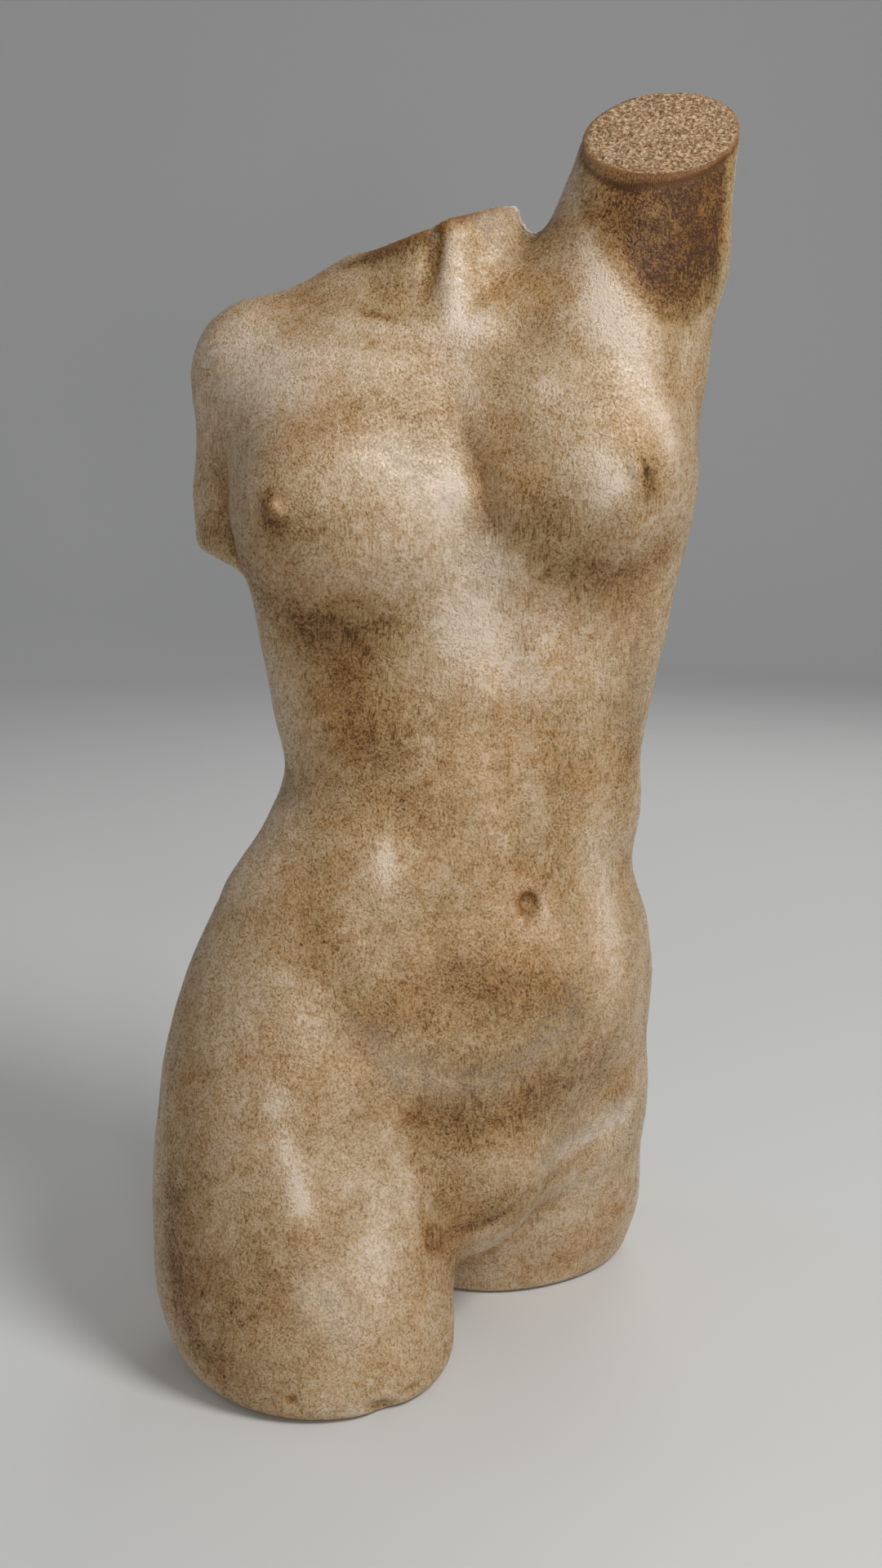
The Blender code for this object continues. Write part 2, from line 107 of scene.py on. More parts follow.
# Rounded masses: centre, radii, tilt about X, then Y, then Z in degrees
RIGHT_BUTTOCK = ((-10.6, 7.0, 21.5), (10.6, 9.8, 11.5), (0, 0, 31))
LEFT_BUTTOCK = ((3.2, 15.0, 20.5), (10.4, 9.6, 11.5), (0, 0, 31))
PUBIS = ((0.6, 1.2, 17.4), (7.6, 9.8, 10.6), (-10, 0, 31))
BELLY = ((3.5, 0.5, 29.5), (12.6, 9.4, 10.5), (0, 0, 31))
RIGHT_BREAST = ((-7.4, -3.9, 69.2), (8.8, 6.4, 7.8), (12, 0, -30))
RIGHT_BREAST_TIP = ((-8.4, -4.4, 69.8), (5.4, 7.2, 6.0), (0, 0, -32))
LEFT_BREAST = ((10.4, -3.2, 71.6), (8.6, 6.4, 8.4), (12, 0, 26))
LEFT_BREAST_TIP = ((11.4, -4.0, 72.0), (5.0, 7.2, 6.0), (0, 0, 26))
RIGHT_CHEST = ((-7.6, -1.6, 76.4), (8.4, 6.0, 6.6), (0, 0, -12))
RIGHT_SHOULDER = ((-13.0, 2.6, 78.6), (6.2, 6.0, 6.3), (0, 0, 0))

# Limbs and muscles: x, y, height and radius at points along the middle
RIGHT_ARM = ((-13.7, 3, 79, 5.5), (-14.4, 3.6, 70, 5.1), (-14.9, 3.8, 60, 5))
SHOULDER_CORNER = ((-14.2, 3, 79.9, 4.4), (-11, 3, 80.6, 3.6))
LEFT_ARM = ((11.8, 3.8, 79, 8), (15.1, 1.2, 88, 6.6), (17.3, -3.2, 102, 5.1))
FLANK_FOLD = ((15.3, 2.6, 90, 5.2), (15.4, 3, 80, 5), (13.9, 3.4, 68, 4.8), (11, 3.2, 56, 4))
CHEST_FOLD = ((14.6, -0.6, 89, 5.0), (11.8, -1.2, 82, 6.2), (10.2, -2.2, 75, 6.2))
LEFT_COLLAR = ((3, -1, 82.4, 3), (9, 0.4, 84.6, 3.4))
NECK_SLOPE = ((-10, 3.2, 81.4, 2.9), (-5.6, 3.4, 84.2, 3.5), (3, 5, 85.6, 3.5), (10, 4, 84.4, 3))
NECK = ((1.4, 4.0, 80, 8.5), (-1.3, 1.8, 97, 5.0))

# Masses and folds that join the trunk, in this order, and how softly each does, in units
TRUNK_MASSES = (
    (PUBIS, 6), (BELLY, 7), (RIGHT_BREAST, 6), (RIGHT_BREAST_TIP, 6), (LEFT_BREAST, 6),
    (LEFT_BREAST_TIP, 6), (RIGHT_CHEST, 5), (RIGHT_SHOULDER, 5),
)
SHOULDER_FOLDS = ((FLANK_FOLD, 3), (CHEST_FOLD, 5), (LEFT_COLLAR, 5), (NECK_SLOPE, 4))

# Cuts: a point on the plane, the way it faces
SOLE = ((0, 0, 0), (0, 0, -1))
HIP_CUT = ((-1.0, 0.0, 7.2), (0.36, 0.0, -1.0))
RIGHT_ARM_CUT = ((-16.0, 3.0, 64.0), (-0.42, -0.10, -0.90))
LEFT_ARM_CUT = ((16.6, -3.0, 96.0), (-0.10, -0.60, 0.80))
NECK_CUT = ((-0.8, 1.5, 89.7), (-0.34, 0.06, 0.94))

# How softly the cuts turn into the skin, in units
RIM_ROUND = 0.9
STUMP_ROUND = 1.5
NEAR_SOLE_ROUND = 2.5
FAR_SOLE_ROUND = 1.5

# Where the skin is looked for, from front to back, and in what steps, in units
SKIN_SEARCH = (-20, 30, 0.1)
# The furthest that a point is moved to reach the skin, and in the last step, in units
FURTHEST_MOVE = 0.8
LAST_MOVE = 0.5

# Carved lines, seen from the front or the back: x, height, half width and depth in units
FURROWS = (
    # middle line of the belly
    ("front", (2.4, 68, 2.2, 0.2), (4.3, 61.3, 2, 0.3), (5.5, 55, 1.8, 0.45),
     (5.9, 48.5, 1.7, 0.4), (6.4, 42, 1.2, 0.3)),
    # right groin
    ("front", (-13.7, 41, 2.4, 0), (-11.9, 38.4, 2.8, 0.1), (-10, 36, 3, 0.35),
     (-7.6, 32.7, 2.8, 0.45), (-5.9, 29.4, 2.4, 0.35), (-4.5, 26, 2, 0.1)),
    # middle line of the chest
    ("front", (0.3, 80, 1.2, 0.05), (1.2, 75.8, 1.1, 0.3), (2.4, 72.3, 1.1, 0.35),
     (3.6, 68.7, 1.2, 0.25), (5.6, 65.8, 1.4, 0)),
    # right waist
    ("front", (-12.6, 47.6, 1.8, 0.5), (-9.8, 46.6, 2, 0)),
    # hollows beside the neck muscle
    ("front", (-0.4, 88.6, 0.7, 0.25), (-0.7, 87, 0.8, 0.35), (-1.1, 84.8, 0.8, 0.05)),
    ("front", (-4.4, 85.4, 1.8, 0.2), (-2.2, 85.2, 1.6, 0.2)),
    ("front", (6.2, 87.4, 1, 0.3), (4.3, 86.2, 1.3, 0.35), (2.4, 83.6, 1.4, 0.1)),
    # arch of the ribs
    ("front", (-10, 55, 1.8, 0.1), (-6, 59, 2.2, 0.35), (-1.5, 62.5, 1.8, 0.15)),
    ("front", (12.5, 56, 1.8, 0.1), (10.2, 60, 2.2, 0.35), (7, 63, 1.8, 0.15)),
    # outer edge of the straight belly muscle
    ("front", (-2.6, 56, 2, 0.1), (-3.2, 50, 2.2, 0.3), (-2.4, 44, 2, 0.1)),
    # spine
    ("back", (-0.8, 81, 2, 0.2), (1, 68, 2.4, 0.8), (2.2, 56, 2.6, 1), (1.8, 46, 2.6, 1),
     (-0.6, 37, 2.2, 0.7), (-3, 31, 1.4, 0.4)),
)
RIDGES = (
    # collar bones
    ("front", (0.2, 82.6, 1.2, 0.2), (-3.6, 82.5, 1.3, 0.35), (-6.8, 83.2, 1.4, 0.35),
     (-10, 83.8, 1.4, 0.1)),
    ("front", (2.2, 82.4, 1.2, 0.25), (6, 84.4, 1.5, 0.2)),
    # neck muscle
    ("front", (1, 89.6, 1.1, 0.25), (0.8, 86.4, 1.0, 0.35), (0.9, 83.4, 1.0, 0.2)),
    # fold in front of the armpit
    ("front", (13.4, 86, 1.6, 0.1), (15, 81.5, 1.7, 0.4), (16.8, 76.5, 1.5, 0.1)),
    # shoulder blades
    ("back", (-7.5, 78, 2.8, 0.4), (-8.4, 72, 3.2, 0.8), (-7.4, 66.5, 2.6, 0.5)),
    ("back", (7.5, 82, 2.8, 0.4), (10.3, 76, 3.2, 0.8), (10.3, 69.5, 2.6, 0.5)),
)
# Spots: side, x and height, radii across, in depth and in height, lean, depth in units
SPOTS = (
    ("front", (6.9, 38.4), (0.75, 1.5, 1.15), -20, 1.0),
    ("front", (-12.2, 69.9), (0.8, 1.4, 0.8), 0, -0.5),
    ("front", (14.2, 72.7), (0.7, 1.2, 0.8), 0, -0.4),
    ("front", (-4.2, 43.6), (3.2, 4.0, 3.6), 0, -0.35),
    ("back", (-7.8, 33.6), (1.2, 2.0, 1.2), 0, 0.4),
    ("back", (1.8, 34.6), (1.2, 2.0, 1.2), 0, 0.4),
)

# Fine lines, narrower than the form's own, in the same columns
FINE_FURROWS = (
    # groove beside the neck muscle
    ("front", (-0.3, 89.3, 0.55, 0.3), (-0.6, 87.6, 0.55, 0.5), (-1.0, 86, 0.5, 0.35),
     (-1.4, 84.4, 0.5, 0)),
    # crease where the left shoulder starts
    ("front", (7.2, 89.6, 0.5, 0.15), (5.4, 88, 0.5, 0.3), (3.8, 86.4, 0.5, 0.3),
     (2.6, 84.4, 0.5, 0.05)),
    # mark above the right collar bone
    ("front", (-6.3, 83.9, 0.4, 0.05), (-4.9, 83.5, 0.4, 0.2), (-3.6, 83.1, 0.4, 0.05)),
    # line under the right breast
    ("front", (-7, 60.4, 0.35, 0), (-4.4, 60.9, 0.35, 0.12), (-1.8, 60.9, 0.35, 0.1),
     (0.2, 60.2, 0.35, 0)),
    # right groin, deepest part
    ("front", (-2.4, 18, 0.8, 0), (-1.6, 14.5, 0.8, 0.15), (-0.9, 11.5, 0.7, 0.15)),
    # left groin, deepest part
    ("front", (0.2, 11, 0.7, 0.2), (3.6, 11.8, 0.8, 0.35), (6.6, 13.4, 0.8, 0.2),
     (9.4, 15.4, 0.8, 0)),
    # seam of the casting on the thigh
    ("front", (-17, 19.9, 0.3, 0), (-15, 19.7, 0.3, 0.1), (-12.6, 19.8, 0.3, 0)),
)
FINE_SPOTS = (
    # navel: its well, its upper lip and the knob in its lower end
    ("front", (6.95, 38.75), (0.5, 1.3, 0.62), -24, 0.85),
    ("front", (6.75, 39.7), (1.1, 1.0, 0.4), -20, -0.18),
    ("front", (6.55, 37.7), (0.42, 0.9, 0.36), -20, -0.5),
    ("front", (8.4, 40.6), (0.4, 0.8, 0.28), 30, 0.16),
    # nipples and the rings around them
    ("front", (-12.2, 69.9), (0.5, 1.0, 0.5), 0, -0.4),
    ("front", (14.1, 72.8), (0.4, 0.8, 0.6), 0, -0.2),
    ("front", (14.75, 72.6), (0.3, 0.8, 0.8), -12, 0.35),
)
# Chips at the near sole and on the thigh, in the same columns
CHIPS = (
    ("front", (-4.6, 0.9), (1.3, 1.6, 0.55), 12, 0.5),
    ("front", (-11.6, 2.4), (0.45, 0.8, 0.35), 0, 0.35),
    ("front", (-2.4, 1.6), (0.7, 0.9, 0.3), -10, 0.25),
)

# Grains of the skin and of the broken faces: depth and size of the lumps in units, seed
UNEVENNESS = ((0.045, 2.6, 1), (0.022, 1.1, 2))
CRUMBS = ((0.10, 0.42, 3), (0.08, 0.24, 4))
# How deep the crumbs lie below the cut, in units
CRUMB_SINK = 0.05

# The patina's usual thickness, from 0 for bare stone to 1
USUAL_PATINA = 0.42
# How much of a hollow's depth is added to it, and the least and the most that this adds
HOLLOW_SHARE = 0.6
HOLLOW_LIMITS = (-0.1, 0.16)
# Where the patina lies thicker or is rubbed away, and where shade and highlights are painted: x,
# height, half width, amount
PATINA_AND_PAINTED_SHADE = (
    # hollow below the neck's rim: patina and painted shade under the rim
    ("front", (-7.2, 87.4, 0.7, 0.35), (-4.3, 88.3, 0.8, 0.45), (-1.8, 89.1, 0.8, 0.5),
     (0.3, 90, 0.6, 0.5), (2.4, 90.9, 0.5, 0.35)),
    ("front", (-0.5, 88.6, 0.5, 0.45), (-0.8, 87, 0.5, 0.35), (-1.1, 85.4, 0.6, 0.1)),
    # mark above the right collar bone
    ("front", (-6.3, 83.9, 0.6, 0.1), (-4.9, 83.5, 0.5, 0.25), (-3.6, 83.1, 0.5, 0.1)),
    # left shoulder slope and chest beside the middle
    ("front", (8.5, 90, 2, 0.12), (6.5, 86.5, 2.4, 0.06), (5, 76, 2.4, 0.04),
     (5, 73, 2.6, 0.1), (6.4, 69, 2.6, 0.2)),
    # under the breasts: patina and painted shade beneath them
    ("front", (-15, 65, 2.6, 0.24), (-11.6, 61.6, 3, 0.2), (-7.4, 60.4, 3, 0.16),
     (-3, 61, 2, 0.12)),
    ("front", (-15.6, 69.6, 2, 0.16), (-12.8, 66.4, 2.4, 0.2), (-10, 64.4, 2.2, 0.1)),
    ("front", (7.5, 70.5, 2.6, 0.08), (11, 68.6, 2.6, 0.1), (15, 69.2, 2, 0.1)),
    ("front", (3.8, 68.2, 1.8, 0.1), (7.6, 65.6, 2.4, 0.25), (12, 64.6, 2.6, 0.3),
     (16.2, 66.4, 2.4, 0.25)),
    # around the nipples
    ("front", (-12.4, 70.2, 0.8, 0.55), (-12.3, 69.2, 1.1, 0.4), (-11, 67.6, 2.2, 0.16)),
    ("front", (14.4, 73.3, 0.7, 0.26), (14.8, 72.2, 0.8, 0.34), (15.2, 71.2, 0.8, 0.26)),
    ("front", (15.4, 72.6, 1.4, 0.15), (15.2, 70, 1.6, 0.12)),
    # upper side of the right breast
    ("front", (-12.8, 73.4, 1.8, 0.1), (-8, 76.2, 1.7, 0.07), (-3.6, 78.2, 1.7, 0.04)),
    ("front", (-9.8, 71.8, 1.8, 0.12), (-8.6, 69, 2, 0.12)),
    # right of the navel, and the belly's lower half
    ("front", (7.5, 53, 2, 0.12), (9.6, 48.5, 2.4, 0.2), (9, 44, 2, 0.14)),
    ("front", (-2.4, 31.6, 3, 0.2), (3, 33, 3.6, 0.34), (9.6, 31, 3, 0.28)),
    ("front", (-3.6, 27.6, 2, 0.12), (1.6, 26, 2.4, 0.2), (7, 26.6, 2.6, 0.22),
     (11.4, 28.6, 2.4, 0.16)),
    ("front", (-1.4, 23, 2, 0.16), (2.8, 21.8, 2.8, 0.3), (8, 22.4, 3, 0.28), (13, 25, 2.6, 0.22)),
    ("front", (1, 15, 2.2, 0.12), (4, 14, 2, 0.32), (7.2, 15, 2, 0.32), (10, 17, 1.8, 0.14)),
    ("front", (13, 22.4, 2, 0.16), (15.6, 20.6, 2, 0.18)),
    ("front", (6.9, 38.6, 0.7, 0.5), (6.8, 38.2, 0.7, 0.4)),
    ("front", (-8.4, 45, 2.6, 0.1), (-10, 38.4, 2.6, 0.22), (-6.6, 32, 1.8, 0.16)),
    # side of the left flank
    ("front", (14.4, 61, 2.2, 0.1), (15.2, 53, 2.2, 0.2), (14.6, 45.4, 2, 0.12)),
    # groins
    ("front", (-1.2, 14, 0.8, 0.08), (-0.4, 11.4, 1.1, 0.24)),
    ("front", (0, 10.8, 1.2, 0.05), (4, 11.8, 1.3, 0.14), (8, 12.8, 1.3, 0.2),
     (12, 14.8, 1.2, 0.1)),
    # outer thigh: painted shade on the side turned from the light
    ("front", (-19.5, 34, 3, 0.12), (-19.8, 24, 4, 0.11), (-19.4, 12, 4, 0.2),
     (-13, 6, 4, 0.18)),
    ("front", (-21.4, 20, 1.6, 0.14), (-21.2, 11, 2.2, 0.3), (-19.4, 5, 2.4, 0.34),
     (-15, 2, 2.4, 0.2)),
    # end of the hanging arm: painted shade at its lower end
    ("front", (-17.8, 71, 1.5, 0.1), (-18, 67, 1.8, 0.25), (-17, 64, 1.8, 0.25)),
    # lower right thigh
    ("front", (-12.6, 15, 3, 0.14), (-13, 10, 3, 0.12)),
    # hollow between waist and ribs
    ("front", (-8, 58, 3.4, 0.22), (-6.4, 53, 3.4, 0.36), (-4.4, 48.6, 3, 0.24),
     (-1, 46, 2.6, 0.16)),
)
RUBBED_AND_PAINTED_HIGHLIGHTS = (
    # breastbone and right breast
    ("front", (-4.4, 73.4, 2.4, 0.18), (0, 70.8, 2.6, 0.3), (2.4, 66, 2.2, 0.34),
     (2, 61, 3, 0.38), (4, 57.6, 2.6, 0.32), (6.4, 56.8, 2.2, 0.2)),
    ("front", (1.6, 82, 2.4, 0.16), (1.2, 77, 1.6, 0.22), (1.2, 72, 1.6, 0.2)),
    ("front", (-16, 82, 2.6, 0.2), (-12, 79.4, 3, 0.3), (-9.4, 77.6, 2.2, 0.2)),
    ("front", (0.4, 75, 1.2, 0.06), (1.2, 72.6, 1.4, 0.1), (1, 70, 1.4, 0.06)),
    ("front", (-6, 80.6, 2.6, 0.14), (0, 81.6, 2, 0.12)),
    ("front", (2.4, 83.4, 1.6, 0.12), (5.6, 82, 1.8, 0.22), (8.5, 79.5, 2, 0.1)),
    # middle line and waist
    ("front", (3.6, 67, 1, 0.12), (4.8, 60, 1.2, 0.22), (6.1, 53, 1.2, 0.2),
     (6.9, 47.6, 1.2, 0.12)),
    ("front", (6, 65, 1.8, 0.14), (9.4, 61, 2.2, 0.24), (12.4, 57.4, 2, 0.2)),
    # side below the raised arm
    ("front", (18.4, 81, 1.4, 0.14), (19.4, 76, 1.4, 0.12)),
    # left breast: a painted highlight beside the nipple
    ("front", (11.6, 73.4, 1.2, 0.25), (12.8, 72, 1.3, 0.45), (11.6, 70.8, 1.2, 0.2)),
    # fold from the armpit to the breast: a painted highlight along it
    ("front", (10.5, 89, 0.8, 0.24), (11.6, 85.4, 1.6, 0.38), (13.8, 80, 1.8, 0.37),
     (16.8, 74.4, 1.2, 0.28)),
    # neck muscle and neck
    ("front", (1.2, 89.2, 0.6, 0.14), (0.8, 86.4, 0.6, 0.3), (1.2, 83, 0.8, 0.2)),
    ("front", (3.6, 90.2, 1.4, 0.08), (5.2, 89.6, 1.2, 0.08), (3.6, 86.4, 1.2, 0.1)),
    # belly, first a painted highlight beside the navel
    ("front", (-4.2, 43.6, 0.9, 0.36), (-4.2, 42, 0.8, 0.36)),
    ("front", (-5, 28.4, 1.2, 0.05), (-2.5, 26, 1.2, 0.08), (0.6, 24.8, 1.2, 0.08),
     (4.8, 25, 1.2, 0.06), (9.3, 28.6, 1.3, 0.08)),
    ("front", (12, 41, 2.4, 0.2), (13, 37.4, 2.6, 0.36), (14.2, 33, 2.2, 0.16)),
    # thighs, first a painted highlight down the right thigh's front
    ("front", (-12.6, 25, 0.9, 0.3), (-12.1, 22.8, 0.6, 0.24), (-11.3, 20.4, 0.9, 0.34),
     (-10.6, 17.2, 1.0, 0.48)),
    ("front", (-9, 10.6, 2.4, 0.16), (-7, 8.4, 2, 0.14)),
    ("front", (-5, 17.6, 1.8, 0.14), (-5, 13.4, 2, 0.26), (-4.6, 10, 1.8, 0.12)),
    ("front", (7.6, 8.4, 2.4, 0.1), (11.6, 10.6, 3, 0.16), (14, 14, 1.6, 0.08)),
    # inner side of the right thigh
    ("front", (-4, 23, 1, 0.12), (-2.8, 18, 1, 0.18), (-2, 14, 0.9, 0.12)),
    # scuffs along the left groin
    ("front", (6.6, 15.2, 1.2, 0.2), (11.1, 16, 1.3, 0.32), (15.6, 17.2, 1.2, 0.3)),
)
# Cool grey scuffs, in the same columns
SCUFFED = (
    # neck beside the raised arm
    ("front", (1.6, 92, 1.2, 0.5), (3.6, 90.8, 1.5, 0.8), (4.8, 88.4, 1.6, 0.5)),
    # lower edge of the belly
    ("front", (-6, 30.5, 1.3, 0.3), (-3.5, 27, 1.6, 0.5), (0.6, 25.2, 1.6, 0.42),
     (5.2, 25.6, 1.6, 0.45), (9.3, 28.6, 2.2, 0.45), (11.5, 32, 2.0, 0.3)),
    # left groin
    ("front", (8.6, 16, 1.4, 0.4), (12, 17, 1.4, 0.7), (16, 18, 1.3, 0.7)),
    # thigh, breastbone and flank
    ("front", (-9.4, 10, 2.4, 0.5), (-7.4, 7.8, 2.4, 0.3)),
    ("front", (-2.6, 73.5, 2.6, 0.4), (1.6, 69, 2.4, 0.4), (2.6, 63, 2.4, 0.3)),
    ("front", (15, 60, 2.4, 0.3), (15.6, 53, 2.4, 0.3)),
)
# The edge of the brown patina and painted shade on the raised arm: x, height
ARM_BROWN_AND_SHADE_EDGE = (
    (9.6, 93.2), (10.3, 90.3), (11.1, 88.9), (12, 87.4), (13.1, 86.1), (14.5, 84.4), (16.1, 83),
    (18.4, 82.6), (19.6, 83.7), (21.4, 85.4),
)

# Colours of a broken face from its pits to its grains: place on the ramp, colour on a screen
CRUMB_COLOURS = (
    (0.30, (0.30, 0.18, 0.09)),
    (0.45, (0.57, 0.43, 0.28)),
    (0.56, (0.75, 0.63, 0.48)),
    (0.70, (0.90, 0.83, 0.73)),
)
# Ways the bristle marks run, as turns about X, Y and Z in degrees, and their length in widths
BRISTLE_TURNS = ((20, 0, 0), (70, 30, 0), (90, 75, 0), (55, -60, 30))
BRISTLE_LENGTH = 6

# What the lights point at, in metres
CHEST = (0, 0, 0.45)
# Soft round lights: name, place, width, share of the studio's light power
LIGHTS = (
    ("key_light", (1.3, -1.2, 2.2), 0.9, 2.8),
    ("camera_light", (0.3, -2.2, 0.6), 0.2, 0.46),
    ("left_light", (-1.9, 0.6, 1.2), 1.0, 0.18),
    ("back_light", (0.6, 1.9, 1.5), 1.4, 0.6),
)
# The pale room all round: colour as light, and strength
ROOM_COLOUR = (0.85, 0.87, 0.9, 1)
ROOM_STRENGTH = 0.265


def smooth_min(a, b, width):
    """The lower of two values, with the change from one to the other eased over width."""
    near = np.clip(width - np.abs(a - b), 0, None) / width
    return np.minimum(a, b) - near**3 * width / 6


def smooth_max(a, b, width):
    """The higher of two values, eased in the same way."""
    return -smooth_min(-a, -b, width)


def eased(value, low, high):
    """0 below low, 1 above high, smooth between."""
    t = np.clip((value - low) / (high - low), 0, 1)
    return t * t * (3 - 2 * t)


def bell(value, width):
    """1 where the value is 0, fading away to both sides over the width."""
    return np.exp(-((value / width) ** 2))


def turned_axes(tilt):
    """The three axes of a frame tilted about X, then Y, then Z, in degrees, as columns."""
    turn = [Matrix.Rotation(np.radians(angle), 3, axis) for angle, axis in zip(tilt, "XYZ")]
    return np.array(turn[2] @ turn[1] @ turn[0])


def section_at(rows, height):
    """The section's values at each height, on a smooth curve through the rows."""
    rows = np.asarray(rows, float)
    levels, values = rows[:, 0], rows[:, 1:]
    slopes = np.gradient(values, levels, axis=0)
    h = np.clip(height, levels[0], levels[-1])
    i = np.clip(np.searchsorted(levels, h, side="right") - 1, 0, len(levels) - 2)
    span = levels[i + 1] - levels[i]
    t = ((h - levels[i]) / span)[..., None]
    span = span[..., None]
    start = (2 * t**3 - 3 * t**2 + 1) * values[i] + (t**3 - 2 * t**2 + t) * slopes[i] * span
    return start + (3 * t**2 - 2 * t**3) * values[i + 1] + (t**3 - t**2) * slopes[i + 1] * span


def stack_depth(p, rows, squareness):
    """How far each point lies outside a body of level sections."""
    x, y, half, ahead_depth, behind_depth, turn = np.moveaxis(section_at(rows, p[..., 2]), -1, 0)
    dx, dy, turn = p[..., 0] - x, p[..., 1] - y, np.radians(turn)
    side = dx * np.cos(turn) + dy * np.sin(turn)
    ahead = dx * np.sin(turn) - dy * np.cos(turn)
    depth = np.where(ahead > 0, ahead_depth, behind_depth)
    share = np.abs(side / half) ** squareness + np.abs(ahead / depth) ** squareness
    share = share ** (1 / squareness)
    outside = np.hypot(side, ahead) * (1 - 1 / np.maximum(share, NEARLY_ZERO))
    return np.where(share > NEARLY_ZERO, outside, -np.minimum(half, depth))


def ball_depth(p, ball):
    """How far each point lies outside a rounded mass."""
    centre, radii, tilt = ball
    q = (p - np.asarray(centre, float)) @ turned_axes(tilt)
    once = np.linalg.norm(q / radii, axis=-1)
    twice = np.linalg.norm(q / np.square(radii), axis=-1)
    return once * (once - 1) / np.maximum(twice, 1e-9)


def along(p, a, b):
    """How far along a to b each point lies, 0 to 1, and its distance from that line."""
    a, b = np.asarray(a, float), np.asarray(b, float)
    t = np.clip((p - a) @ (b - a) / ((b - a) @ (b - a)), 0, 1)
    return t, np.linalg.norm(p - a - t[..., None] * (b - a), axis=-1)


def limb_depth(p, limb):
    """How far each point lies outside a limb, with its bends eased."""
    found = None
    for (*a, start), (*b, end) in zip(limb[:-1], limb[1:]):
        t, distance = along(p, a, b)
        depth = distance - (start + (end - start) * t)
        found = depth if found is None else smooth_min(found, depth, 1.5)
    return found


def cut_depth(p, cut):
    """How far each point lies beyond a cut, on the side that it faces."""
    point, facing = (np.asarray(v, float) for v in cut)
    return (p - point) @ (facing / np.linalg.norm(facing))


def leg_depth(p, rows, buttock, top, top_round, sole_round):
    """How far each point lies outside a thigh with its buttock and its level cut."""
    leg = smooth_max(stack_depth(p, rows, 2.1), p[..., 2] - top, top_round)
    leg = smooth_min(leg, ball_depth(p, buttock), 6)
    return smooth_max(leg, cut_depth(p, SOLE), sole_round)


def masses(p):
    """How far each point lies outside the figure before its lines are carved."""
    height = p[..., 2]
    trunk = smooth_max(stack_depth(p, TRUNK, 2.2), cut_depth(p, HIP_CUT), 5)
    trunk = smooth_max(trunk, height - 87, 3)
    right_leg = leg_depth(p, RIGHT_THIGH, RIGHT_BUTTOCK, 40, 10, NEAR_SOLE_ROUND)
    left_leg = leg_depth(p, LEFT_THIGH, LEFT_BUTTOCK, 32, 8, FAR_SOLE_ROUND)
    legs = smooth_min(right_leg, left_leg, 0.8)

    # The crease between belly and thighs is sharp below and softer upwards and outwards
    crease = 1.0 + 3.4 * eased(height, 6, 15) + 2.6 * eased(height, 16, 26)
    outer = eased(p[..., 0], 4, 10) * eased(height, 8, 13) * (1 - eased(height, 17, 23))
    crease = crease + 2.6 * outer
    form = smooth_min(trunk, legs, crease)

    for mass, width in TRUNK_MASSES:
        form = smooth_min(form, ball_depth(p, mass), width)
    form = smooth_min(form, limb_depth(p, SHOULDER_CORNER), 3.5)
    arm = smooth_max(limb_depth(p, RIGHT_ARM), cut_depth(p, RIGHT_ARM_CUT), STUMP_ROUND)
    form = smooth_min(form, arm, 1.2)
    arm = smooth_max(limb_depth(p, LEFT_ARM), cut_depth(p, LEFT_ARM_CUT), RIM_ROUND)
    form = smooth_min(form, arm, 3.5)
    for fold, width in SHOULDER_FOLDS:
        form = smooth_min(form, limb_depth(p, fold), width)
    neck = smooth_max(limb_depth(p, NECK), cut_depth(p, NECK_CUT), RIM_ROUND)
    return smooth_min(form, neck, 3.2)


def on_skin(side, spots):
    """The outermost points of the front or back at each x and height."""
    depths = np.arange(*SKIN_SEARCH)
    if side == "back":
        depths = depths[::-1]
    spots = np.asarray(spots, float)
    p = np.empty((len(spots), len(depths), 3))
    p[..., 0], p[..., 1], p[..., 2] = spots[:, :1], depths, spots[:, 1:]
    inside = masses(p) < 0
    return p[np.arange(len(spots)), inside.argmax(axis=1)]


def placed(lines):
    """Each line's points on the skin, with their half widths and depths."""
    rows = [(side, np.asarray(points, float)) for side, *points in lines]
    return [np.hstack([on_skin(side, points[:, :2]), points[:, 2:]]) for side, points in rows]


def stroke(p, line):
    """The depth of a carved line at each point, fading to both sides of it."""
    found = np.zeros(p.shape[:-1])
    for start, end in zip(line[:-1], line[1:]):
        t, distance = along(p, start[:3], end[:3])
        width = start[3] + (end[3] - start[3]) * t
        depth = start[4] + (end[4] - start[4]) * t
        found = np.maximum(found, depth * bell(distance, width))
    return found


def strokes(p, lines):
    """The depth that all carved lines together have at each point."""
    return sum(stroke(p, line) for line in lines)


def spot_sum(p, spots):
    """The depth that all round or oval spots together have at each point."""
    total = np.zeros(p.shape[:-1])
    for centre, radii, lean, depth in spots:
        q = (p - centre) @ turned_axes((0, lean, 0)) / np.asarray(radii, float)
        total += depth * np.exp(-(q * q).sum(-1))
    return total


def set_spots(spots):
    """The spots with their centres on the skin."""
    return [(on_skin(side, (spot,))[0], *measures) for side, spot, *measures in spots]


def grain(p, size, seed):
    """Smooth noise from -1 to 1 with lumps of one size, the same on every run."""
    count = 32
    lattice = np.random.default_rng(seed).uniform(-1, 1, (count, count, count))
    cell = np.floor(p / size)
    t = p / size - cell
    t = t * t * (3 - 2 * t)
    i = cell.astype(int) % count
    j = (i + 1) % count
    found = 0
    for x, wx in ((i[:, 0], 1 - t[:, 0]), (j[:, 0], t[:, 0])):
        for y, wy in ((i[:, 1], 1 - t[:, 1]), (j[:, 1], t[:, 1])):
            for z, wz in ((i[:, 2], 1 - t[:, 2]), (j[:, 2], t[:, 2])):
                found = found + lattice[x, y, z] * wx * wy * wz
    return found


def grains(p, rows):
    """The depth that several grains together have at each point."""
    return sum(depth * grain(p, size, seed) for depth, size, seed in rows)


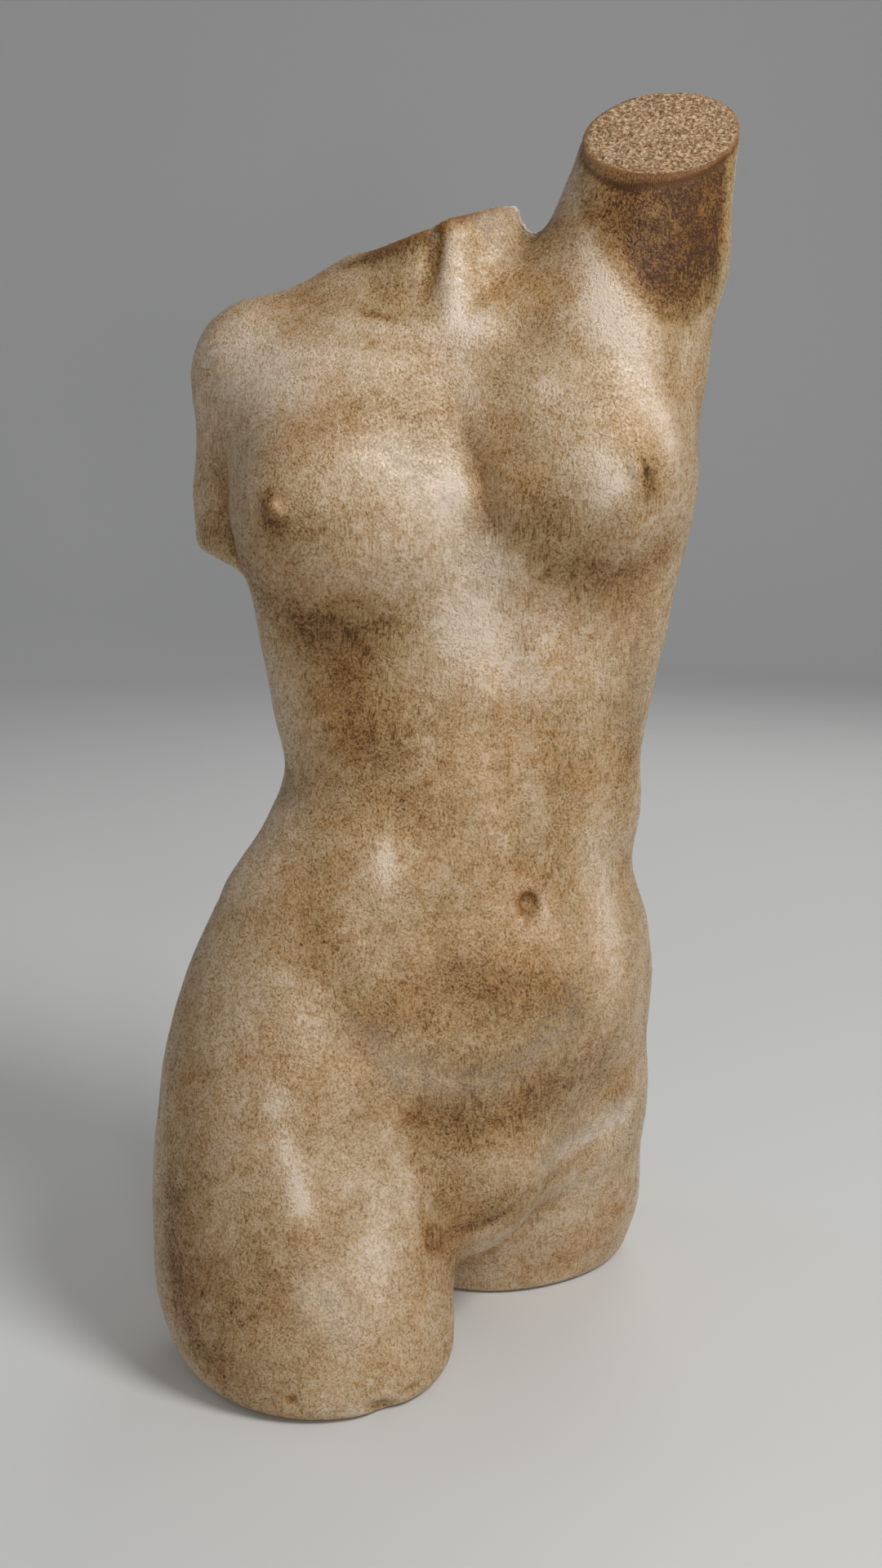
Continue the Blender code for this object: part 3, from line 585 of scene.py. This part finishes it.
def break_masks(p):
    """How far each point belongs to a broken face, and how far to the rim around it."""
    face, rim = np.zeros(len(p)), np.zeros(len(p))
    for limb, cut in ((LEFT_ARM, LEFT_ARM_CUT), (NECK, NECK_CUT)):
        # Both keep near the cut's plane: the face well inside the limb, the rim at its skin
        off_plane = cut_depth(p, cut)
        inward = -limb_depth(p, limb)
        face = np.maximum(face, bell(off_plane, 1.2) * eased(inward, 0.1, 0.36))
        rim = np.maximum(rim, bell(off_plane, 0.6) * bell(inward, 0.27))
    return face, rim


def undercut(p):
    """How near each point is to the line just below the raised arm's rim."""
    below = -cut_depth(p, LEFT_ARM_CUT)
    wave = 0.12 * grain(p, 2.2, 6)
    on_arm = eased(2.5 - limb_depth(p, LEFT_ARM), 1.5, 2.2)
    return bell(below - 0.5 - wave, 0.2) * on_arm


class Carving:
    """The figure's field with its lines set on the skin, in units."""

    def __init__(self):
        self.furrows, self.ridges, self.spots = placed(FURROWS), placed(RIDGES), set_spots(SPOTS)
        self.fine_furrows = placed(FINE_FURROWS)
        self.fine_spots, self.chips = set_spots(FINE_SPOTS), set_spots(CHIPS)

    def depth(self, p):
        """How far each point lies outside the carved figure."""
        form = masses(p) + strokes(p, self.furrows) - strokes(p, self.ridges)
        form = form + spot_sum(p, self.spots) + strokes(p, self.fine_furrows)
        return form + spot_sum(p, self.fine_spots + self.chips)

    def slope(self, p, depth, step=0.03):
        """The field's slope at each point, from three more readings of it."""
        slope = np.empty_like(p)
        for axis in range(3):
            shift = np.zeros(3)
            shift[axis] = step
            slope[:, axis] = (self.depth(p + shift) - depth) / step
        return slope


def evaluated_mesh(body):
    """The object's mesh with its modifiers applied, as a new mesh."""
    bpy.context.view_layer.update()
    graph = bpy.context.evaluated_depsgraph_get()
    return bpy.data.meshes.new_from_object(body.evaluated_get(graph))


def points_of(mesh):
    """The mesh's points, one in each row."""
    points = np.empty(len(mesh.vertices) * 3)
    mesh.vertices.foreach_get("co", points)
    return points.reshape(-1, 3)


def edges_of(mesh):
    """The numbers of each edge's two points, one edge in each row."""
    edges = np.empty(len(mesh.edges) * 2, int)
    mesh.edges.foreach_get("vertices", edges)
    return edges.reshape(-1, 2)


def neighbour_means(values, edges):
    """Each point's neighbours' mean value."""
    total = np.zeros_like(values)
    count = np.zeros(len(values))
    for a, b in ((0, 1), (1, 0)):
        for column in range(values.shape[1]):
            total[:, column] += np.bincount(edges[:, a], values[edges[:, b], column], len(values))
        count += np.bincount(edges[:, a], minlength=len(values))
    return total / count[:, None]


def split_edges_near(mesh, places):
    """Halves the edges that lie in any of the places, each an oval: centre, radii and axes."""
    bm = bmesh.new()
    bm.from_mesh(mesh)
    points = points_of(mesh) / UNIT + FIGURE_MIDDLE
    near = np.zeros(len(points), bool)
    for centre, radii, turn in places:
        q = (points - centre) @ turn / np.asarray(radii, float)
        near |= (q * q).sum(1) < 1
    edges = [edge for edge in bm.edges if all(near[end.index] for end in edge.verts)]
    bmesh.ops.subdivide_edges(bm, edges=edges, cuts=1, use_grid_fill=True)
    bm.to_mesh(mesh)
    bm.free()


def facing_axes(facing):
    """Axes with the third along the way a face looks, as columns."""
    return np.array(Vector(facing).to_track_quat("Z", "Y").to_matrix())


def fine_places(carving):
    """Where the piece needs smaller faces, as ovals: for the first halving, and for the second."""
    (arm, arm_facing), (neck, neck_facing) = LEFT_ARM_CUT, NECK_CUT
    level = np.eye(3)
    faces = [
        (arm, (7.6, 7.6, 1.6), facing_axes(arm_facing)),
        (neck, (10, 10, 1.4), facing_axes(neck_facing)),
    ]
    small = [(centre, (2.0, 2.4, 2.0), level) for centre, *_ in carving.fine_spots]
    chips = [(centre, (2.4, 3.0, 1.6), level) for centre, *_ in carving.chips]
    groove = [(point[:3], (1.6, 1.6, 1.6), level) for point in carving.fine_furrows[0]]
    return faces + small + chips + groove, [(arm, (7.2, 7.2, 0.9), facing_axes(arm_facing))]


def carved_points(points, edges, carving):
    """Moves the skin onto the field along its own slope, then evens it out and settles it."""
    depth = carving.depth(points)
    slope = carving.slope(points, depth)
    normal = slope / np.linalg.norm(slope, axis=1, keepdims=True)
    points = points - np.clip(depth, -FURTHEST_MOVE, FURTHEST_MOVE)[:, None] * normal
    for evening in (0.6, 0.5):
        aside = neighbour_means(points, edges) - points
        aside -= normal * (aside * normal).sum(1, keepdims=True)
        points = points + evening * aside
    depth = carving.depth(points)
    slope = carving.slope(points, depth)
    steep = np.maximum((slope * slope).sum(1), 0.1)
    move = depth / np.sqrt(steep)
    normal = slope / np.sqrt(steep)[:, None]
    points = points - np.clip(move, -FURTHEST_MOVE, FURTHEST_MOVE)[:, None] * normal
    depth = carving.depth(points)
    points = points - np.clip(depth, -LAST_MOVE, LAST_MOVE)[:, None] * normal
    return points, normal


def surface_relief(p):
    """The hand's unevenness all over, the crumbs of the broken faces and their proud rims."""
    face, rim = break_masks(p)
    standing = eased(p[:, 2], 0.3, 1.6)
    worn_rim = 0.10 * rim * (0.8 + 0.6 * grain(p, 1.5, 5))
    skin = grains(p, UNEVENNESS) + worn_rim - 0.12 * undercut(p)
    return standing * skin * (1 - face) + face * (grains(p, CRUMBS) - CRUMB_SINK)


def patina_and_painted_light_depth(p, normal):
    """How thick the brown lies at each point, with the painted shade and painted highlights, before
    the hollows are counted.
    """
    amount = USUAL_PATINA + strokes(p, placed(PATINA_AND_PAINTED_SHADE)) - strokes(p, placed(RUBBED_AND_PAINTED_HIGHLIGHTS))

    # The raised arm is brown above a line, more so on its outer half, but for its outer edge:
    # patina with painted shade of the armpit's hollow
    edge = np.array(ARM_BROWN_AND_SHADE_EDGE, float)
    above = p[:, 2] - np.interp(p[:, 0], edge[:, 0], edge[:, 1])
    front = eased(-normal[:, 1], -0.3, 0.35) * eased(p[:, 0], 8.6, 9.6)
    arm_brown_and_painted_shade = eased(above, -0.6, 0.8) * (0.6 + 0.4 * eased(above, 0.6, 3.2))
    arm_brown_and_painted_shade *= front * (0.22 + 0.34 * eased(p[:, 0], 11, 14.5))
    arm_brown_and_painted_shade *= 1 - 0.7 * eased(p[:, 0], 20.4, 21.4)
    return amount + arm_brown_and_painted_shade + 0.2 * undercut(p)


def hollow_depth(points, normal, edges):
    """How far each point lies in a hollow, from narrow to broad ones, 0 on a flat."""
    found = 0
    smooth = points
    for passes, weight in ((6, 2.0), (24, 0.5)):
        for _ in range(passes):
            smooth = neighbour_means(smooth, edges)
        found = found + weight * ((smooth - points) * normal).sum(1)
    return found


def write_values(mesh, name, values):
    """Keeps a value at each point of the mesh for the material."""
    layer = mesh.attributes.new(name, "FLOAT", "POINT")
    layer.data.foreach_set("value", np.asarray(values, np.float32))


class Value:
    """A number at a socket of the material, for sums that read as written."""

    def __init__(self, graph, socket):
        self.graph, self.socket = graph, socket

    def _math(self, operation, a, b, **settings):
        return self.graph.node("ShaderNodeMath", {"operation": operation, **settings}, {0: a, 1: b})

    def __add__(self, other):
        return self._math("ADD", self, other)

    def __radd__(self, other):
        return self._math("ADD", other, self)

    def __sub__(self, other):
        return self._math("SUBTRACT", self, other)

    def __rsub__(self, other):
        return self._math("SUBTRACT", other, self)

    def __mul__(self, other):
        return self._math("MULTIPLY", self, other)

    def __rmul__(self, other):
        return self._math("MULTIPLY", other, self)

    def held(self):
        """The same number kept from 0 to 1."""
        return self._math("ADD", self, 0.0, use_clamp=True)


class Graph:
    """A material's nodes."""

    def __init__(self, name):
        self.material = bpy.data.materials.new(name)
        self.material.use_nodes = True
        self.tree = self.material.node_tree
        self.shader = self.tree.nodes["Principled BSDF"]

    def node(self, kind, settings=None, sockets=None, output=0):
        """One node: its settings first, then its sockets' values or links."""
        made = self.tree.nodes.new(kind)
        for name, value in (settings or {}).items():
            if name == "stops":
                self.set_stops(made.color_ramp, value)
            else:
                setattr(made, name, value)
        for name, value in (sockets or {}).items():
            self.give(made.inputs[name], value)
        return Value(self, made.outputs[output])

    def give(self, socket, value):
        """Links a value to a socket, or sets it there."""
        if isinstance(value, Value):
            self.tree.links.new(value.socket, socket)
        else:
            socket.default_value = value

    def set_stops(self, ramp, stops):
        """Sets a ramp's places and colours, each colour as picked on a screen."""
        while len(ramp.elements) < len(stops):
            ramp.elements.new(1.0)
        for element, (place, colour) in zip(ramp.elements, stops):
            element.position, element.color = place, as_light(colour)

    def attribute(self, name):
        """The value that the mesh keeps under a name."""
        return self.node("ShaderNodeAttribute", {"attribute_name": name}, output=2)

    def noise(self, place, scale, detail, roughness=0.5):
        """Noise around 0.5, with lumps of one size and finer layers on them."""
        sockets = {"Vector": place, "Scale": scale, "Detail": detail, "Roughness": roughness}
        return self.node("ShaderNodeTexNoise", {"noise_dimensions": "3D"}, sockets)

    def share(self, value, low, high, top=1.0, change="LINEAR"):
        """0 for a value below low, top for one above high, and the way between."""
        sockets = {"Value": value, "From Min": low, "From Max": high, "To Max": top}
        return self.node("ShaderNodeMapRange", {"interpolation_type": change}, sockets)

    def mixed(self, amount, a, b, blend="MIX"):
        """Colour a with as much of colour b as the amount says."""
        settings = {"data_type": "RGBA", "blend_type": blend}
        return self.node("ShaderNodeMix", settings, {0: amount, 6: a, 7: b}, 2)


def as_light(colour):
    """A colour picked on a screen, as light, with full cover."""
    colour = np.array(colour)
    light = np.where(colour <= 0.04045, colour / 12.92, ((colour + 0.055) / 1.055) ** 2.4)
    return (*light, 1)


def bristles(graph, place, turn):
    """Short scratches along one direction, from a fine noise drawn out along it."""
    rotation = [np.radians(angle) for angle in turn]
    drawn = graph.node("ShaderNodeMapping", {"vector_type": "TEXTURE"}, {
        "Vector": place, "Rotation": rotation, "Scale": (1, 1, BRISTLE_LENGTH)})
    return graph.share(graph.noise(drawn, 640, 1.5, 0.6), 0.46, 0.66, change="SMOOTHSTEP")


def stone_material(finish):
    """Cast stone with a waxed patina: pale where rubbed, brown in hollows, crumbly where broken,
    with painted shade and painted highlights in the same colours.
    """
    graph = Graph("waxed_patina_stone")
    place = graph.node("ShaderNodeTexCoord", output=3)
    patina, scuffs = graph.attribute("patina"), graph.attribute("scuffs")
    face, rim = graph.attribute("broken_face"), graph.attribute("broken_rim")

    # Noises, from broad clouds to dust, and bristle marks that run two ways at a time
    broad = graph.noise(place, 11, 2)
    warm = graph.noise(place, 17, 4, 0.65)
    cloudy = graph.noise(place, 26, 4, 0.6)
    blotches = graph.noise(place, 130, 3, 0.6)
    specks = graph.noise(place, 560, 2, 0.7)
    dust = graph.noise(place, 1300, 1)
    scratches = [bristles(graph, place, turn) for turn in BRISTLE_TURNS]
    pick = graph.share(graph.noise(place, 60, 1), 0.42, 0.58)
    other = graph.share(graph.noise(place, 47, 1), 0.42, 0.58)
    steep = scratches[0] * pick + scratches[1] * (1 - pick)
    level = scratches[2] * other + scratches[3] * (1 - other)
    scratch = (steep + level) * 0.5

    # Colour of the skin by the patina's thickness, with its painted shade and painted highlights,
    # grey clouds, warm clouds and scuffs
    depth = patina + (cloudy - 0.5) * 0.48 + (blotches - 0.5) * 0.5 + (specks - 0.5) * 0.42
    depth = (depth + (scratch - 0.25) * 0.42 + (dust - 0.5) * 0.3).held()
    stops = (
        (0.0, finish.rubbed_and_highlight_colour),
        (0.30, finish.pale_colour),
        (0.55, finish.tan_colour),
        (0.80, finish.brown_colour),
        (1.0, finish.deep_colour),
    )
    skin = graph.node("ShaderNodeValToRGB", {"stops": stops}, {"Fac": depth})
    grey = graph.share(broad, 0.45, 0.7, 0.35)
    skin = graph.mixed(grey, skin, as_light(finish.grey_colour), "SOFT_LIGHT")
    orange = graph.share(warm, 0.44, 0.66, 0.85)
    skin = graph.mixed(orange * depth, skin, as_light(finish.orange_colour), "MULTIPLY")
    scuffed = (scuffs * (0.5 + (blotches - 0.5) * 2.4 + (specks - 0.5) * 1.8)).held()
    skin = graph.mixed(scuffed, skin, as_light(finish.scuff_colour))

    # Colour of the broken faces and their rims
    crumb = graph.noise(place, 480, 3, 0.7)
    crumbs = graph.node("ShaderNodeValToRGB", {"stops": CRUMB_COLOURS}, {"Fac": crumb})
    colour = graph.mixed(face, skin, crumbs)
    rim_share = (rim * 0.75 + (blotches - 0.5) * 0.6 * rim).held()
    colour = graph.mixed(rim_share, colour, as_light(finish.rim_colour))
    graph.give(graph.shader.inputs["Base Color"], colour)

    # The wax shines least on broken faces and thick patina
    dull = finish.dullness + (specks - 0.5) * 0.5 + (blotches - 0.5) * 0.4
    dull = dull + face * 0.35 + depth * 0.24
    graph.give(graph.shader.inputs["Roughness"], dull.held())
    graph.shader.inputs["IOR"].default_value = 1.48

    height = specks * 0.85 - scratch * 0.7 + dust * 0.35 + blotches * 1.1 + crumb * face * 2.5
    bump = graph.node("ShaderNodeBump", None, {
        "Strength": 0.75, "Distance": 0.0007, "Height": height})
    graph.give(graph.shader.inputs["Normal"], bump)
    return graph.material


def plain_material(name, colour, roughness):
    """A material of one colour."""
    graph = Graph(name)
    graph.shader.inputs["Base Color"].default_value = as_light(colour)
    graph.shader.inputs["Roughness"].default_value = roughness
    return graph.material


def colour_property(name, description, default):
    """A colour that the user picks as on a screen."""
    return FloatVectorProperty(
        name=name, description=description, default=default, min=0, max=1, subtype="COLOR")


class TorsoShape(PropertyGroup):
    """How fine the figure is"""

    skin_cell: FloatProperty(
        name="Skin cell", description="Edge length of the skin's faces",
        default=0.0037, min=0.002, max=0.02, precision=4, unit="LENGTH")


class TorsoFinish(PropertyGroup):
    """The figure's colours, from the barest stone to the thickest patina"""

    # The rubbed colour is also the colour of the painted highlights
    rubbed_and_highlight_colour: colour_property("Rubbed", "Where the patina is worn off", (0.88, 0.80, 0.715))
    pale_colour: colour_property("Pale", "Thin patina", (0.76, 0.66, 0.53))
    tan_colour: colour_property("Tan", "The usual patina", (0.655, 0.53, 0.35))
    # Brown and deep brown are also the colours of the painted shade
    brown_colour: colour_property("Brown", "Patina in the hollows", (0.495, 0.35, 0.145))
    deep_colour: colour_property("Deep brown", "The thickest patina", (0.285, 0.165, 0.025))
    grey_colour: colour_property("Grey", "Cool cast of the broad clouds", (0.60, 0.58, 0.56))
    scuff_colour: colour_property("Scuffs", "Dull scuffed skin", (0.62, 0.59, 0.54))
    orange_colour: colour_property("Orange", "Warm cast of the thick patina", (1.0, 0.84, 0.58))
    rim_colour: colour_property("Rim", "Rims of the broken faces", (0.50, 0.32, 0.13))
    dullness: FloatProperty(
        name="Dullness", description="How dull the waxed skin is",
        default=0.315, min=0, max=1, subtype="FACTOR")


class TorsoStudio(PropertyGroup):
    """Floor, lights and camera"""

    floor_colour: colour_property("Floor", "The plain floor", (0.86, 0.86, 0.85))
    light_power: FloatProperty(
        name="Light power", description="Power that the lights' shares are taken of",
        default=14.0, min=0, unit="POWER")
    camera_place: FloatVectorProperty(
        name="Camera place", description="Where the camera stands",
        default=(0.00661, -1.23197, 0.64), subtype="XYZ", unit="LENGTH")
    camera_pitch: FloatProperty(
        name="Camera pitch", description="How far the camera looks down",
        default=np.radians(12.4), subtype="ANGLE")
    lens: FloatProperty(
        name="Lens", description="Focal length in millimetres",
        default=43.73, min=10, max=200, unit="CAMERA")


class TORSO_OT_carve_figure(Operator):
    """Carves the fine figure over the frame's solid and finishes it"""

    bl_idname = "torso.carve_figure"
    bl_label = "Carve the figure"

    def execute(self, context):
        body = bpy.data.objects.new("stone_figure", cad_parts["torso"].data.copy())
        context.scene.collection.objects.link(body)
        skin = body.modifiers.new("Even skin", "REMESH")
        skin.mode = "VOXEL"
        skin.voxel_size = context.scene.torso_shape.skin_cell
        coarse = body.data
        body.data = evaluated_mesh(body)
        body.modifiers.clear()
        bpy.data.meshes.remove(coarse)
        if len(body.data.vertices) == 0:
            raise RuntimeError("the figure has no skin")

        carving = Carving()
        for places in fine_places(carving):
            split_edges_near(body.data, places)
        edges = edges_of(body.data)
        points, normal = carved_points(points_of(body.data) / UNIT + FIGURE_MIDDLE, edges, carving)
        points = points + normal * surface_relief(points)[:, None]

        hollow = HOLLOW_SHARE * hollow_depth(points, normal, edges)
        # The patina's thickness, with the painted shade and painted highlights added in
        patina = patina_and_painted_light_depth(points, normal) + np.clip(hollow, *HOLLOW_LIMITS)
        face, rim = break_masks(points)
        low, high = (np.array(corner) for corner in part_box("torso"))
        places = np.clip((points - FIGURE_MIDDLE) * UNIT, low, high)
        body.data.vertices.foreach_set("co", places.ravel())
        write_values(body.data, "patina", patina)
        write_values(body.data, "scuffs", strokes(points, placed(SCUFFED)))
        write_values(body.data, "broken_face", face)
        write_values(body.data, "broken_rim", rim)
        body.data.materials.clear()
        body.data.materials.append(stone_material(context.scene.torso_finish))
        body.data.shade_smooth()
        body.data.update()
        print("stone figure:", len(body.data.polygons), "faces")
        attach(body, "root")
        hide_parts("torso")
        return {"FINISHED"}


def paper_sweep(half_width, depth, bend, height):
    """A sheet that lies on the floor and curves up behind the figure."""
    steps = 24
    turns = [np.radians(90 * step / steps) for step in range(steps + 1)]
    profile = [(-half_width, 0)]
    profile += [(depth + bend * np.sin(turn), bend * (1 - np.cos(turn))) for turn in turns]
    profile.append((depth + bend, height))
    bm = bmesh.new()
    rows = [[bm.verts.new((side * half_width, y, z)) for y, z in profile] for side in (-1, 1)]
    for i in range(len(profile) - 1):
        bm.faces.new((rows[0][i], rows[1][i], rows[1][i + 1], rows[0][i + 1])).smooth = True
    sheet = bpy.data.meshes.new("paper")
    bm.to_mesh(sheet)
    bm.free()
    return sheet


def soft_light(name, place, width, power):
    """A round light that points at the chest."""
    light = bpy.data.objects.new(name, bpy.data.lights.new(name, "AREA"))
    light.data.shape = "DISK"
    light.data.size = width
    light.data.energy = power
    light.location = place
    light.rotation_euler = (Vector(CHEST) - Vector(place)).to_track_quat("-Z", "Y").to_euler()
    bpy.context.scene.collection.objects.link(light)


class TORSO_OT_set_studio(Operator):
    """Lays the floor and sets the lights and the camera"""

    bl_idname = "torso.set_studio"
    bl_label = "Set the studio"

    def execute(self, context):
        studio = context.scene.torso_studio
        paper = paper_sweep(half_width=4, depth=2.6, bend=1.5, height=4)
        floor = bpy.data.objects.new("floor", paper)
        context.scene.collection.objects.link(floor)
        floor.data.materials.append(plain_material("plain_floor", studio.floor_colour, 0.9))

        for name, place, width, share in LIGHTS:
            soft_light(name, place, width, studio.light_power * share)

        world = bpy.data.worlds.new("studio")
        world.use_nodes = True
        background = world.node_tree.nodes["Background"]
        background.inputs["Color"].default_value = ROOM_COLOUR
        background.inputs["Strength"].default_value = ROOM_STRENGTH
        context.scene.world = world
        context.scene.view_settings.view_transform = "Standard"

        camera = bpy.data.objects.new("camera", bpy.data.cameras.new("camera"))
        camera.data.lens = studio.lens
        camera.location = studio.camera_place
        camera.rotation_euler = (np.radians(90) - studio.camera_pitch, 0, 0)
        context.scene.collection.objects.link(camera)
        context.scene.camera = camera
        return {"FINISHED"}


class TORSO_PT_sidebar(Panel):
    """The torso's steps and what a user may change"""

    bl_label = "Stone torso"
    bl_idname = "TORSO_PT_sidebar"
    bl_space_type = "VIEW_3D"
    bl_region_type = "UI"
    bl_category = "Torso"

    def draw(self, context):
        groups = (
            (TORSO_OT_carve_figure, (context.scene.torso_shape, context.scene.torso_finish)),
            (TORSO_OT_set_studio, (context.scene.torso_studio,)),
        )
        for operator, settings in groups:
            box = self.layout.box()
            for group in settings:
                for name in group.__annotations__:
                    box.prop(group, name)
            box.operator(operator.bl_idname)


GROUPS = {"torso_shape": TorsoShape, "torso_finish": TorsoFinish, "torso_studio": TorsoStudio}
CLASSES = (*GROUPS.values(), TORSO_OT_carve_figure, TORSO_OT_set_studio, TORSO_PT_sidebar)


def register():
    for item in CLASSES:
        bpy.utils.register_class(item)
    for name, group in GROUPS.items():
        setattr(bpy.types.Scene, name, PointerProperty(type=group))


def unregister():
    for name in GROUPS:
        delattr(bpy.types.Scene, name)
    for item in reversed(CLASSES):
        bpy.utils.unregister_class(item)


def main():
    register()
    bpy.ops.torso.carve_figure()
    bpy.ops.torso.set_studio()


if __name__ == "__main__":
    main()
